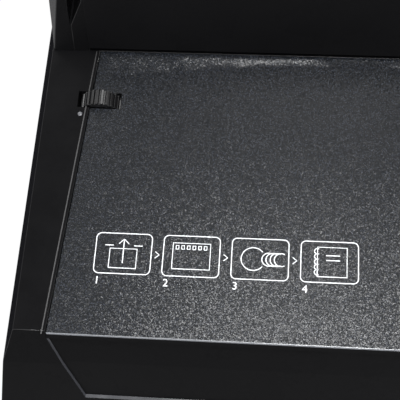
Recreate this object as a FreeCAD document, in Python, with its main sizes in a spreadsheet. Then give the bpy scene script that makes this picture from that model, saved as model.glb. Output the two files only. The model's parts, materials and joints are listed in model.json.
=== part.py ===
import math
import os
import re

import FreeCAD
import Part
import Sketcher

# Manual comb binding machine: a paper bed, a punch head behind it, a bail handle and a comb opener.
# X runs to the operator's right, -Y faces the operator, Z is up, the desk is Z = 0.

doc = FreeCAD.newDocument("BindingMachine")

# Driving dimensions, in millimetres, degrees or counts.
SIZES = {
    "base_height": 50, "base_wall": 3.5, "base_ledge": 1, "skirt_run": 14, "skirt_drop": 20,
    "skirt_flare": 8.5, "toe_run": 18, "toe_flare": 5.5, "rear_ledge": 25, "foot_height": 4,
    "foot_radius": 9, "foot_inset": 26, "plate_thickness": 1.5, "scoop_depth": 2, "scoop_margin": 19,
    "scoop_slant": 19, "scoop_lip": 7, "bed_length": 185, "border_front": 19,
    "border_rear": 31, "tray_thickness": 3, "tray_drop": 1.5, "ramp_end_depth": 20, "ramp_mid_depth": 6,
    "ramp_top_end": 3, "ramp_top_mid": 1.5, "head_height": 84, "head_lean": 30, "head_wall": 3,
    "head_brow": 12, "head_back_lean": 6, "head_end": 19, "cap_taper": 8, "cap_thickness": 10,
    "shoulder_height": 36, "shoulder_step": 18, "taper_rise": 16, "cap_boss": 12, "throat_gap": 3.5,
    "die_thickness": 14, "block_tail": 17, "guide_thickness": 6, "side_plate": 3, "pin_count": 21,
    "pin_pitch": 14.2875, "pin_margin": 13.125, "pin_width": 8, "pin_depth": 3, "pin_setback": 3,
    "pin_clearance": 0.2, "bar_thickness": 7, "bar_web": 3, "bar_margin": 2, "shaft_radius": 6,
    "shaft_clearance": 0.05, "shaft_room": 23, "shaft_level": 50, "cam_thickness": 10, "cam_hub": 11,
    "cam_inset": 30, "punch_travel": 12, "swing_degrees": 85, "cam_gap": 0.3, "arm_thickness": 12,
    "arm_width": 26, "arm_length": 200, "arm_gap": 1, "arm_tip_width": 20, "bar_radius": 8,
    "grip_radius": 11, "grip_length": 200, "pivot_cap_radius": 11, "pivot_cap_height": 2.5,
    "gear_module": 2, "gear_teeth": 10, "gear_width": 8, "gear_inset": 58, "gear_backlash": 0.35,
    "rake_thickness": 2.5, "rake_depth": 30, "comb_setback": 11, "comb_margin": 3,
    "comb_plate_thickness": 2, "comb_plate_depth": 42, "finger_width": 3.4, "finger_height": 13,
    "finger_thickness": 1.8, "finger_setback": 11, "prong_setback": 6, "hook_reach": 6,
    "slot_margin": 0.8, "wheel_radius": 13, "wheel_width": 10, "wheel_flutes": 26, "flute_depth": 1.2,
    "wheel_rise": 5.5, "wheel_setback": 35, "wheel_inset": 3, "wheel_clearance": 0.6, "axle_radius": 2,
    "pinion_teeth": 9, "pinion_module": 0.8, "pinion_width": 6, "pinion_backlash": 0.2,
    "stop_travel": 4, "stop_width": 6, "stop_leg": 5, "stop_reach": 15, "bracket_wall": 2,
    "bracket_half": 18, "bracket_side": 3.5, "rack_bar": 6, "drawer_side": 4, "drawer_lead": 20,
    "drawer_height": 24, "drawer_wall": 2, "drawer_clearance": 0.5, "drawer_pull": 70,
    "drawer_notch": 9, "spring_radius": 5, "spring_wire": 1.2, "spring_inset": 45, "screw_radius": 3.5,
    "screw_head": 1.6, "screw_inset": 40, "fit_gap": 0.3,
}

# Places worked out from the driving dimensions, as formulas.
PLACES = {
    "base_top": "foot_height + base_height",
    "half_span": "pin_pitch * (pin_count - 1) / 2 + pin_width / 2 + pin_margin",
    "half_head": "half_span + side_plate + head_end",
    "arm_inner": "half_head + arm_gap",
    "arm_outer": "arm_inner + arm_thickness",
    "half_top": "arm_outer + base_ledge",
    "half_shoulder": "half_top + skirt_flare",
    "half_base": "half_shoulder + toe_flare",
    "head_run": "head_lean + 2 * head_brow + comb_setback + comb_plate_depth + comb_margin + head_back_lean",
    "total_depth": "toe_run + skirt_run + bed_length + head_run + rear_ledge",
    "base_front": "-total_depth / 2",
    "base_back": "total_depth / 2",
    "shoulder_front": "base_front + toe_run",
    "skirt_top": "shoulder_front + skirt_run",
    "head_front": "skirt_top + bed_length",
    "head_back": "head_front + head_run",
    "shoulder": "base_top - skirt_drop",
    "tray_top": "base_top - tray_drop",
    "tray_floor": "tray_top - tray_thickness",
    "inner_top": "tray_floor - base_wall",
    "half_bed_front": "half_top - border_front",
    "half_bed_rear": "half_top - border_rear",
    "throat_top": "base_top + throat_gap",
    "head_top": "base_top + head_height",
    "guide_top": "throat_top + guide_thickness",
    "die_floor": "base_top - die_thickness",
    "web_floor": "guide_top + punch_travel + fit_gap",
    "flange_floor": "web_floor + bar_web",
    "flange_top": "flange_floor + bar_thickness",
    "lean_rate": "head_lean / (head_height - head_brow - throat_gap)",
    "block_front": "head_front + head_wall + lean_rate * guide_thickness + fit_gap",
    "bar_front": "head_front + head_wall + lean_rate * (flange_top - throat_top) + fit_gap",
    "pin_line": "bar_front + pin_setback",
    "shaft_y": "head_front + head_lean + head_brow + shaft_room",
    "shaft_z": "base_top + shaft_level",
    "block_back": "shaft_y + block_tail",
    "cam_rest": "shaft_z - flange_top - cam_gap",
    "gear_radius": "gear_module * gear_teeth / 2",
    "rack_line": "shaft_z + gear_radius",
    "rake_travel": "gear_radius * swing_degrees * pi / 180",
    "comb_floor": "head_top - head_wall",
    "rake_top": "comb_floor - fit_gap",
    "rake_floor": "rake_top - rake_thickness",
    "comb_front": "head_front + head_lean + head_brow + comb_setback",
    "comb_back": "comb_front + comb_plate_depth",
    "finger_y": "comb_back - finger_setback",
    "rake_back": "finger_y + finger_thickness + slot_margin",
    "rake_front": "rake_back - rake_depth",
    "arm_front": "shaft_y - arm_width / 2",
    "grip_z": "shaft_z + arm_length",
    "wheel_x": "-(half_bed_rear - wheel_inset)",
    "wheel_y": "head_front - wheel_setback",
    "wheel_z": "tray_top + wheel_rise - wheel_radius",
    "pinion_radius": "pinion_module * pinion_teeth / 2",
    "stop_x": "-half_span - 2 * side_plate - stop_travel - fit_gap - stop_leg",
    "stop_y": "block_front + fit_gap",
    "slide_line": "wheel_z - pinion_radius",
    "slide_floor": "slide_line - rack_bar",
    "bracket_front": "wheel_y - wheel_width / 2 - wheel_clearance - bracket_wall",
    "pinion_front": "wheel_y + wheel_width / 2",
    "bracket_rear": "pinion_front + pinion_width + wheel_clearance",
    "bracket_floor": "slide_floor - fit_gap - bracket_wall",
    "half_drawer": "half_span - drawer_side",
    "drawer_front": "pin_line - drawer_lead",
    "drawer_floor": "foot_height + plate_thickness + drawer_clearance",
    "drawer_top": "drawer_floor + drawer_height",
}


def cell_rows(names):
    """Pair each name with the next cell of column A."""
    return [("A%d" % (row + 1), name) for row, name in enumerate(names)]


def fill_sheet(title, values):
    """Make a sheet with one alias per value."""
    sheet = doc.addObject("Spreadsheet::Sheet", title)
    for cell, name in cell_rows(values):
        sheet.set(cell, str(values[name]))
        sheet.setAlias(cell, name)
    return sheet


def ex(text):
    """Write the sheet's name before each size in a formula."""
    def qualify(match):
        word = match.group(0)
        if word in SIZES:
            return "Sizes." + word
        if word in PLACES:
            return "Places." + word
        return word
    return re.sub(r"[A-Za-z_]+[A-Za-z_0-9]*", qualify, str(text))


sizes = fill_sheet("Sizes", SIZES)
doc.recompute()
formulas = {name: "=" + ex(text).replace("Places.", "") for name, text in PLACES.items()}
places = fill_sheet("Places", formulas)
doc.recompute()


def val(name):
    """The present number of a size or place."""
    return float(getattr(sizes if name in SIZES else places, name))


def bind(obj, **formulas):
    """Bind properties to formulas; px, py and pz are the placement."""
    short = {"px": "Placement.Base.x", "py": "Placement.Base.y", "pz": "Placement.Base.z"}
    for key, text in formulas.items():
        obj.setExpression(short.get(key, key), ex(text))
    return obj


def box(name, x, y, z, length, width, height):
    solid = doc.addObject("Part::Box", name)
    return bind(solid, Length=length, Width=width, Height=height, px=x, py=y, pz=z)


UP = FreeCAD.Vector(0, 0, 1)
FACET_OUT = 0.83
FACET_UP = 0.58
TURN = {"x": FreeCAD.Rotation(FreeCAD.Vector(0, 1, 0), 90),
        "y": FreeCAD.Rotation(FreeCAD.Vector(1, 0, 0), -90),
        "z": FreeCAD.Rotation(),
        "left facet": FreeCAD.Rotation(UP, FreeCAD.Vector(-FACET_OUT, -1, FACET_UP)),
        "right facet": FreeCAD.Rotation(UP, FreeCAD.Vector(FACET_OUT, -1, FACET_UP))}


def rod(name, axis, x, y, z, radius, height):
    solid = doc.addObject("Part::Cylinder", name)
    solid.Placement = FreeCAD.Placement(FreeCAD.Vector(), TURN[axis])
    return bind(solid, Radius=radius, Height=height, px=x, py=y, pz=z)


def prism(name, role, corners, length, symmetric=True, **offset):
    """Pad a closed outline whose corners are pairs of formulas on one of the three main planes."""
    body = doc.addObject("PartDesign::Body", name)
    sketch = body.newObject("Sketcher::SketchObject", name + "_outline")
    plane = [item for item in body.Origin.OriginFeatures if item.Role == role][0]
    sketch.AttachmentSupport = [(plane, "")]
    sketch.MapMode = "FlatFace"
    probe = doc.addObject("Spreadsheet::Sheet", name + "_probe")
    for row, pair in enumerate(corners):
        probe.set("A%d" % (row + 1), "=" + ex(pair[0]))
        probe.set("B%d" % (row + 1), "=" + ex(pair[1]))
    doc.recompute()
    points = [FreeCAD.Vector(float(probe.get("A%d" % (row + 1))), float(probe.get("B%d" % (row + 1))), 0)
              for row in range(len(corners))]
    doc.removeObject(probe.Name)
    count = len(points)
    for i in range(count):
        sketch.addGeometry(Part.LineSegment(points[i], points[(i + 1) % count]), False)
    for i in range(count):
        sketch.addConstraint(Sketcher.Constraint("Coincident", i, 2, (i + 1) % count, 1))
    for i in range(count):
        for kind, side in (("DistanceX", 0), ("DistanceY", 1)):
            index = sketch.addConstraint(Sketcher.Constraint(kind, -1, 1, i, 1, points[i][side]))
            sketch.setExpression("Constraints[%d]" % index, ex(corners[i][side]))
    pad = body.newObject("PartDesign::Pad", name + "_pad")
    pad.Profile = sketch
    if symmetric:
        pad.SideType = "Symmetric"
    bind(pad, Length=length)
    bind(body, **offset)
    return body


def cut(name, base, *tools):
    result = doc.addObject("Part::Cut", name)
    result.Base = base
    result.Tool = tools[0] if len(tools) == 1 else fuse(name + "_tools", *tools)
    return result


def fuse(name, *solids):
    result = doc.addObject("Part::MultiFuse", name)
    result.Shapes = list(solids)
    return result


def common(name, *solids):
    result = doc.addObject("Part::MultiCommon", name)
    result.Shapes = list(solids)
    return result


def group(name, *solids):
    result = doc.addObject("Part::Compound", name)
    result.Links = list(solids)
    return result


def feature(name, shape):
    solid = doc.addObject("Part::Feature", name)
    solid.Shape = shape
    return solid


NODES = []


def node(name, solid):
    """Give a finished piece the name that it is kept under."""
    solid.Label = name
    NODES.append(solid)
    return solid


def pin_places():
    """Middles of the punch pins along X."""
    count = int(val("pin_count"))
    return [(i - (count - 1) / 2) for i in range(count)]


# Base shell: a low housing with drafted sides and a sloped front skirt, open below.
def base_block(name, inset, low, high):
    """The base's outer form drawn in by a wall."""
    side = prism(name + "_side", "YZ_Plane", [
        ("base_front + %s" % inset, low), ("base_back - %s" % inset, low), ("base_back - %s" % inset, high),
        ("skirt_top + %s" % inset, high), ("shoulder_front + %s" % inset, "shoulder - %s" % inset)],
        "4 * half_base")
    face = prism(name + "_face", "XZ_Plane", [
        ("-half_base + %s" % inset, low), ("half_base - %s" % inset, low),
        ("half_shoulder - %s" % inset, "shoulder - %s" % inset), ("half_top - %s" % inset, high),
        ("-half_top + %s" % inset, high), ("-half_shoulder + %s" % inset, "shoulder - %s" % inset)],
        "2 * total_depth")
    return common(name, side, face)


def bed_outline(gap, front):
    """The paper bed in plan: wider at the front than at the head."""
    rear = "head_front + %s" % gap
    return [("-half_bed_front - %s" % gap, front), ("half_bed_front + %s" % gap, front),
            ("half_bed_front + %s" % gap, "skirt_top"), ("half_bed_rear + %s" % gap, rear),
            ("-half_bed_rear - %s" % gap, rear), ("-half_bed_front - %s" % gap, "skirt_top")]


def wheel_window(name, low, height):
    """Cut for the thumb wheel where it comes up through the bed."""
    return box(name, "wheel_x - wheel_radius - wheel_clearance",
               "wheel_y - wheel_width / 2 - wheel_clearance", low, "2 * wheel_radius + 2 * wheel_clearance",
               "wheel_width + 2 * wheel_clearance", height)


outer = base_block("base_outer", "0", "foot_height", "base_top")
inner = base_block("base_inner", "base_wall", "foot_height", "inner_top")
bed_recess = prism("bed_recess", "XY_Plane", bed_outline("fit_gap", "base_front - base_wall"),
                   "base_height", False, pz="tray_floor")
well = box("head_well", "-half_span - side_plate - fit_gap", "block_front - fit_gap", "foot_height",
           "2 * (half_span + side_plate + fit_gap)", "block_back - block_front + 2 * fit_gap",
           "base_height * 2")
drawer_mouth = box("drawer_mouth", "-half_drawer - drawer_clearance", "base_back - 2 * base_wall",
                   "foot_height - fit_gap", "2 * (half_drawer + drawer_clearance)", "4 * base_wall",
                   "drawer_top + drawer_clearance - foot_height + fit_gap")
scoop_core = prism("scoop_core", "YZ_Plane", [
    ("base_front + scoop_depth", "foot_height"), ("base_back", "foot_height"), ("base_back", "base_top"),
    ("skirt_top + scoop_depth", "base_top"), ("shoulder_front + scoop_depth", "shoulder")], "4 * half_base")
scoop_face = prism("scoop_face", "XZ_Plane", [
    ("-half_top + scoop_margin + scoop_slant", "foot_height + scoop_lip"),
    ("half_top - scoop_margin - scoop_slant", "foot_height + scoop_lip"),
    ("half_top - scoop_margin", "tray_floor"), ("-half_top + scoop_margin", "tray_floor")],
    "total_depth", True, py="base_front")
scoop = cut("front_scoop", scoop_face, scoop_core)
stop_slot = box("stop_slot", "stop_x - stop_travel - fit_gap", "stop_y - fit_gap", "foot_height",
                "stop_leg + 2 * stop_travel + 2 * fit_gap", "stop_width + 2 * fit_gap", "base_height * 2")
wheel_gap = wheel_window("base_wheel_window", "inner_top - base_wall", "base_height")
pinion_gap = box("pinion_gap", "wheel_x - pinion_radius - pinion_module - wheel_clearance", "wheel_y",
                 "inner_top - base_wall", "2 * (pinion_radius + pinion_module + wheel_clearance)",
                 "bracket_rear - wheel_y", "base_height")
axle_gap = box("axle_gap", "wheel_x - axle_radius - fit_gap", "bracket_front - fit_gap",
               "inner_top - base_wall", "2 * (axle_radius + fit_gap)",
               "bracket_rear + bracket_wall - bracket_front + 2 * fit_gap",
               "wheel_z + axle_radius + fit_gap - inner_top + base_wall")
node("base_shell", cut("base_shell", outer, inner, bed_recess, well, drawer_mouth, scoop, stop_slot,
                       wheel_gap, pinion_gap, axle_gap))

# Bottom plate and feet.
plate_tool = base_block("plate_outline", "(base_wall + fit_gap)", "foot_height", "base_top")
plate_slab = box("plate_slab", "-half_base", "base_front", "foot_height", "2 * half_base", "total_depth",
                 "plate_thickness")
node("bottom_plate", common("bottom_plate", plate_tool, plate_slab))
FEET = [(sx, sy) for sx in (-1, 1) for sy in (-1, 1)]
feet = []
for number, (sx, sy) in enumerate(FEET):
    feet.append(rod("foot_%d" % number, "z", "%d * (half_base - foot_inset)" % sx,
                    "%d * (base_back - foot_inset)" % sy, "0", "foot_radius", "foot_height"))
node("rubber_feet", group("rubber_feet", *feet))

# Paper bed: a textured plate in the base's recess, flush with the skirt, with a curved ramp up to the throat.
bed_slab = prism("bed_slab", "XY_Plane", bed_outline("0", "base_front"), "tray_thickness", False,
                 pz="tray_floor")
bed_plate = common("bed_plate", bed_slab, base_block("bed_limit", "0", "foot_height", "base_top"))


def ramp_outline(depth_end, depth_mid, level):
    """A D-shaped outline whose front edge is one shallow arc."""
    half = val("half_bed_rear")
    rear = val("head_front")
    left = FreeCAD.Vector(-half, rear, level)
    right = FreeCAD.Vector(half, rear, level)
    front_left = FreeCAD.Vector(-half, rear - depth_end, level)
    front_right = FreeCAD.Vector(half, rear - depth_end, level)
    middle = FreeCAD.Vector(0, rear - depth_mid, level)
    return Part.Wire([Part.LineSegment(left, front_left).toShape(),
                      Part.Arc(front_left, middle, front_right).toShape(),
                      Part.LineSegment(front_right, right).toShape(),
                      Part.LineSegment(right, left).toShape()])


ramp = feature("bed_ramp", Part.makeLoft([
    ramp_outline(val("ramp_end_depth"), val("ramp_mid_depth"), val("tray_top")),
    ramp_outline(val("ramp_top_end"), val("ramp_top_mid"), val("base_top"))], True, True))
bed_gap = wheel_window("bed_wheel_window", "tray_floor - tray_thickness", "base_height")
node("paper_bed", cut("paper_bed", fuse("bed_with_ramp", bed_plate, ramp), bed_gap))


# Head cover: fascia, brow, crown and back in one shell, with a window for the comb plate.
def head_outline(front_foot, inset):
    return [("head_front + %s" % inset, front_foot), ("head_back - %s" % inset, "base_top"),
            ("head_back - head_back_lean - %s" % inset, "head_top - head_brow"),
            ("head_back - head_back_lean - head_brow", "head_top - %s" % inset),
            ("head_front + head_lean + head_brow", "head_top - %s" % inset),
            ("head_front + head_lean + %s" % inset, "head_top - head_brow")]


head_outer = prism("head_outer", "YZ_Plane", head_outline("throat_top", "0"),
                   "2 * (half_head - cap_thickness)")
hollow_outline = head_outline("base_top", "head_wall")
hollow_outline[0] = ("head_front + head_wall", "throat_top")
hollow_outline[1] = ("head_back - head_wall", "base_top - head_wall")
hollow_outline.insert(1, ("head_front + head_wall", "base_top - head_wall"))
head_hollow = prism("head_hollow", "YZ_Plane", hollow_outline, "2 * half_head")
comb_window = box("comb_window", "-half_span - side_plate - fit_gap", "comb_front - fit_gap",
                  "head_top - 2 * head_wall", "2 * (half_span + side_plate + fit_gap)",
                  "comb_plate_depth + 2 * fit_gap", "4 * head_wall")
node("head_cover", cut("head_cover", head_outer, head_hollow, comb_window))

def shoulder_block(name, height, width, middle):
    """A block on the base's border whose front follows the lean of the fascia."""
    return prism(name, "YZ_Plane", [
        ("head_front", "base_top"), ("arm_front - arm_gap", "base_top"),
        ("arm_front - arm_gap", "base_top + %s" % height),
        ("head_front + lean_rate * %s" % height, "base_top + %s" % height)], width, True, px=middle)


# End caps: close the head, flare out to a low shoulder and carry a guard in front of each arm.
for side, word in ((-1, "left"), (1, "right")):
    cap_side = prism("cap_side_" + word, "YZ_Plane", head_outline("base_top", "0"), "4 * half_head")
    cap_face = prism("cap_face_" + word, "XZ_Plane", [
        ("%d * half_head" % side, "base_top"), ("%d * (half_head - cap_thickness)" % side, "base_top"),
        ("%d * (half_head - cap_thickness)" % side, "head_top"),
        ("%d * (half_head - cap_taper)" % side, "head_top"),
        ("%d * (half_head - cap_taper)" % side, "base_top + shoulder_step + taper_rise"),
        ("%d * half_head" % side, "base_top + shoulder_step")], "2 * total_depth")
    boss = rod("cap_boss_" + word, "x", "%d * (half_head - cap_thickness / 2) - cap_thickness / 2" % side,
               "shaft_y", "shaft_z", "cap_boss", "cap_thickness")
    cap_hole = rod("cap_hole_" + word, "x", "%d * half_head - half_head" % side, "shaft_y", "shaft_z",
                   "shaft_radius + fit_gap", "2 * half_head")
    stop_room = box("stop_room_" + word, "stop_x - stop_travel - 2 * fit_gap",
                    "stop_y - fit_gap", "base_top - fit_gap", "-stop_x + stop_travel + 2 * fit_gap",
                    "stop_width + 2 * fit_gap", "throat_gap + fit_gap")
    guard = shoulder_block("cap_guard_" + word, "shoulder_height", "arm_thickness",
                           "%d * (arm_inner + arm_thickness / 2)" % side)
    step = shoulder_block("cap_step_" + word, "shoulder_step", "arm_outer - half_head + cap_thickness / 2",
                          "%d * (arm_outer + half_head - cap_thickness / 2) / 2" % side)
    facet = rod("cap_facet_" + word, word + " facet", "%d * arm_outer" % side, "head_front", "base_top",
                "2 * shoulder_height", "shoulder_height")
    cap_form = fuse("cap_form_" + word, common("cap_body_" + word, cap_side, cap_face), boss, guard, step)
    rooms = [cap_hole, facet, stop_room] if side < 0 else [cap_hole, facet]
    node("head_cap_" + word, cut("head_cap_" + word, cap_form, *rooms))


def pin_cells(name, margin, low, height):
    """One rectangular bar per punch pin, grown by a margin on each side."""
    bars = []
    for number, step in enumerate(pin_places()):
        bars.append(box("%s_%d" % (name, number), "%s * pin_pitch - pin_width / 2 - %s" % (step, margin),
                        "pin_line - pin_depth / 2 - %s" % margin, low,
                        "pin_width + 2 * %s" % margin, "pin_depth + 2 * %s" % margin, height))
    return bars


# Punch frame: two steel side plates carry the die, the pin guide, the shaft and the comb plate.
for side, word in ((-1, "left"), (1, "right")):
    cheek = prism("cheek_" + word, "YZ_Plane", [
        ("block_front", "foot_height + plate_thickness"), ("block_back", "foot_height + plate_thickness"),
        ("block_back", "flange_top"), ("comb_back", "comb_floor"), ("comb_front", "comb_floor"),
        ("bar_front + fit_gap", "flange_top"), ("block_front", "guide_top")], "side_plate", True,
        px="%d * (half_span + side_plate / 2)" % side)
    shaft_hole = rod("shaft_hole_" + word, "x", "%d * half_span - half_span" % side, "shaft_y", "shaft_z",
                     "shaft_radius + shaft_clearance", "2 * half_span")
    throat_notch = box("throat_notch_" + word, "%d * half_span - half_span" % side,
                       "block_front - side_plate", "base_top", "2 * half_span",
                       "pin_line + pin_depth - block_front + side_plate", "throat_gap")
    node("side_plate_" + word, cut("side_plate_" + word, cheek, shaft_hole, throat_notch))

die = box("die_body", "-half_span", "block_front", "die_floor", "2 * half_span", "block_back - block_front",
          "die_thickness")
node("die_block", cut("die_block", die, *pin_cells("die_hole", "pin_clearance", "0", "base_top * 2")))
guide = box("guide_body", "-half_span", "block_front", "throat_top", "2 * half_span",
            "block_back - block_front", "guide_thickness")
node("pin_guide", cut("pin_guide", guide, *pin_cells("guide_hole", "pin_clearance", "0", "base_top * 2")))

# Punch bar and pins: driven down by the cams, pushed up again by two springs.
bar_flange = box("bar_flange", "-half_span + bar_margin", "bar_front", "flange_floor",
                 "2 * (half_span - bar_margin)", "block_back - bar_front", "bar_thickness")
bar_web = box("bar_web_strip", "-half_span + bar_margin", "bar_front", "web_floor",
              "2 * (half_span - bar_margin)", "2 * pin_setback", "bar_web")
node("punch_bar", fuse("punch_bar", bar_flange, bar_web))
node("punch_pins", group("punch_pins", *pin_cells("pin", "0", "throat_top + fit_gap",
                                                  "web_floor - throat_top - fit_gap")))
springs = []
for side, word in ((-1, "left"), (1, "right")):
    place = ("%d * (half_span - spring_inset)" % side, "block_back - 2 * spring_radius", "guide_top")
    coil = rod("spring_form_" + word, "z", *place, "spring_radius", "flange_floor - guide_top")
    core = rod("spring_core_" + word, "z", *place, "spring_radius - spring_wire",
               "flange_floor - guide_top")
    springs.append(cut("spring_" + word, coil, core))
node("return_springs", group("return_springs", *springs))


# Handle shaft with its cams and comb gears.
def ring_bore(name, x, length):
    """The shaft's clearance hole through a piece that it carries."""
    return rod(name, "x", x, "shaft_y", "shaft_z", "shaft_radius + shaft_clearance", length)


node("handle_shaft", rod("handle_shaft", "x", "-arm_outer", "shaft_y", "shaft_z", "shaft_radius",
                         "2 * arm_outer"))
CAM_LEAD = 0.2
CAM_TAIL = 0.1
CAM_STEPS = 14


def cam_face():
    """An involute lobe: its reach below the shaft grows in step with the handle's angle."""
    swing = math.radians(val("swing_degrees"))
    base = val("punch_travel") / swing
    first = val("cam_rest") / base
    points = []
    for step in range(CAM_STEPS + 1):
        roll = first - CAM_LEAD + (swing + CAM_LEAD + CAM_TAIL) * step / CAM_STEPS
        y = -base * (math.cos(roll) + roll * math.sin(roll))
        z = base * (math.sin(roll) - roll * math.cos(roll))
        points.append(FreeCAD.Vector(0, y * math.cos(first) - z * math.sin(first),
                                     y * math.sin(first) + z * math.cos(first)))
    curve = Part.BSplineCurve()
    curve.interpolate(points)
    centre = FreeCAD.Vector()
    return Part.Face(Part.Wire([Part.LineSegment(centre, points[0]).toShape(), curve.toShape(),
                                Part.LineSegment(points[-1], centre).toShape()]))


for side, word in ((-1, "left"), (1, "right")):
    start = side * (val("half_span") - val("cam_inset")) - val("cam_thickness") / 2
    lobe = feature("cam_lobe_" + word, cam_face().extrude(FreeCAD.Vector(val("cam_thickness"), 0, 0)))
    lobe.Placement.Base = FreeCAD.Vector(start, val("shaft_y"), val("shaft_z"))
    hub_x = "%d * (half_span - cam_inset) - cam_thickness / 2" % side
    hub = rod("cam_hub_" + word, "x", hub_x, "shaft_y", "shaft_z", "cam_hub", "cam_thickness")
    node("punch_cam_" + word, cut("punch_cam_" + word, fuse("cam_form_" + word, lobe, hub),
                                  ring_bore("cam_bore_" + word, hub_x, "cam_thickness")))

PRESSURE = math.radians(25)
ADDENDUM = 0.7
DEDENDUM = 0.95
FLANK_FOOT = 0.4


def gear_face(teeth, module, backlash, first_gap):
    """A spur gear outline in its own plane, with a tooth gap at the given angle."""
    pitch = module * teeth / 2
    base = pitch * math.cos(PRESSURE)
    half = math.pi / teeth / 2 - backlash / pitch / 2
    involute = math.tan(PRESSURE) - PRESSURE
    radii = (pitch - DEDENDUM * module, max(base, pitch - FLANK_FOOT * module), pitch,
             pitch + ADDENDUM * module)
    points = []
    for tooth in range(teeth):
        middle = first_gap + (tooth + 0.5) * 2 * math.pi / teeth
        flank = []
        for radius in radii:
            lean = math.acos(min(1, base / radius))
            flank.append((radius, half + involute - (math.tan(lean) - lean)))
        for radius, angle in flank:
            points.append((radius, middle - angle))
        for radius, angle in reversed(flank):
            points.append((radius, middle + angle))
    corners = [FreeCAD.Vector(r * math.cos(a), r * math.sin(a), 0) for r, a in points]
    return Part.Face(Part.makePolygon(corners + corners[:1]))


def rack_face(length_low, length_high, module, backlash, top):
    """Rack teeth along the first axis, pointing down from a bar, with a tooth at zero."""
    pitch = math.pi * module
    lean = math.tan(PRESSURE)
    half = pitch / 4 - backlash / 2
    tip = -ADDENDUM * module
    root = DEDENDUM * module
    start = length_low * pitch - pitch / 2
    points = [FreeCAD.Vector(start, top, 0), FreeCAD.Vector(start, root, 0)]
    for tooth in range(length_low, length_high + 1):
        middle = tooth * pitch
        points.append(FreeCAD.Vector(middle - half - root * lean, root, 0))
        points.append(FreeCAD.Vector(middle - half - tip * lean, tip, 0))
        points.append(FreeCAD.Vector(middle + half + tip * lean, tip, 0))
        points.append(FreeCAD.Vector(middle + half + root * lean, root, 0))
    points.append(FreeCAD.Vector(length_high * pitch + pitch / 2, root, 0))
    points.append(FreeCAD.Vector(length_high * pitch + pitch / 2, top, 0))
    return Part.Face(Part.makePolygon(points + points[:1]))


# A face drawn in XY is turned so that X becomes Y, Y becomes Z and its normal becomes X.
STAND_X = FreeCAD.Rotation(FreeCAD.Vector(1, 1, 1), 120)
for side, word in ((-1, "left"), (1, "right")):
    gear_x = "%d * (half_span - gear_inset) - gear_width / 2" % side
    start = side * (val("half_span") - val("gear_inset")) - val("gear_width") / 2
    profile = gear_face(int(val("gear_teeth")), val("gear_module"), val("gear_backlash"), math.pi / 2)
    blank = feature("gear_blank_" + word, profile.extrude(FreeCAD.Vector(0, 0, val("gear_width"))))
    blank.Placement = FreeCAD.Placement(FreeCAD.Vector(start, val("shaft_y"), val("shaft_z")), STAND_X)
    bore = ring_bore("gear_bore_" + word, gear_x, "gear_width")
    node("comb_gear_" + word, cut("comb_gear_" + word, blank, bore))

# Bail handle: two tapered arms, a cross bar, a grip and a cap over each pivot.
for side, word in ((-1, "left"), (1, "right")):
    middle = "%d * (arm_inner + arm_thickness / 2)" % side
    edge = "%d * (arm_inner + arm_thickness / 2) - arm_thickness / 2" % side
    blade = prism("arm_blade_" + word, "YZ_Plane", [
        ("shaft_y - arm_width / 2", "shaft_z"), ("shaft_y + arm_width / 2", "shaft_z"),
        ("shaft_y + arm_tip_width / 2", "grip_z"), ("shaft_y - arm_tip_width / 2", "grip_z")],
        "arm_thickness", True, px=middle)
    heel = rod("arm_heel_" + word, "x", edge, "shaft_y", "shaft_z", "arm_width / 2", "arm_thickness")
    toe = rod("arm_toe_" + word, "x", edge, "shaft_y", "grip_z", "arm_tip_width / 2", "arm_thickness")
    node("handle_arm_" + word, cut("handle_arm_" + word, fuse("arm_form_" + word, blade, heel, toe),
                                   ring_bore("arm_bore_" + word, edge, "arm_thickness")))
node("handle_bar", rod("handle_bar", "x", "-arm_inner", "shaft_y", "grip_z", "bar_radius", "2 * arm_inner"))
grip_form = rod("grip_form", "x", "-grip_length / 2", "shaft_y", "grip_z", "grip_radius", "grip_length")
grip_bore = rod("grip_bore", "x", "-grip_length / 2", "shaft_y", "grip_z", "bar_radius + shaft_clearance",
                "grip_length")
node("handle_grip", cut("handle_grip", grip_form, grip_bore))
node("pivot_caps", group("pivot_caps", *[
    rod("pivot_cap_" + word, "x", start, "shaft_y", "shaft_z", "pivot_cap_radius", "pivot_cap_height")
    for word, start in (("left", "-arm_outer - pivot_cap_height"), ("right", "arm_outer"))]))

# Comb opener: fixed prongs on a slotted steel plate, and a rake whose hooks draw the comb open.
comb_sheet = box("comb_sheet", "-half_span - side_plate", "comb_front", "comb_floor",
                 "2 * (half_span + side_plate)", "comb_plate_depth", "comb_plate_thickness")
prongs = []
slots = []
hooks = []
for number, step in enumerate(pin_places()):
    left = "%s * pin_pitch - finger_width / 2" % step
    prongs.append(box("prong_%d" % number, left, "comb_back - prong_setback", "comb_floor",
                      "finger_width", "finger_thickness", "head_top + finger_height - comb_floor"))
    slots.append(box("slot_%d" % number, left + " - slot_margin",
                     "finger_y - rake_travel - hook_reach - slot_margin", "comb_floor - head_wall",
                     "finger_width + 2 * slot_margin",
                     "rake_travel + hook_reach + finger_thickness + 2 * slot_margin", "4 * head_wall"))
    hooks.append(box("finger_%d" % number, left, "finger_y", "rake_floor", "finger_width",
                     "finger_thickness", "head_top + finger_height - rake_floor"))
    hooks.append(box("hook_%d" % number, left, "finger_y - hook_reach",
                     "head_top + finger_height - finger_thickness", "finger_width", "hook_reach",
                     "finger_thickness"))
node("comb_plate", fuse("comb_plate", cut("comb_slotted", comb_sheet, *slots), *prongs))
rake_sheet = box("rake_sheet", "-half_span + bar_margin", "rake_front", "rake_floor",
                 "2 * (half_span - bar_margin)", "rake_depth", "rake_thickness")
RACK_TEETH = (-1, 3)
racks = []
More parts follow.
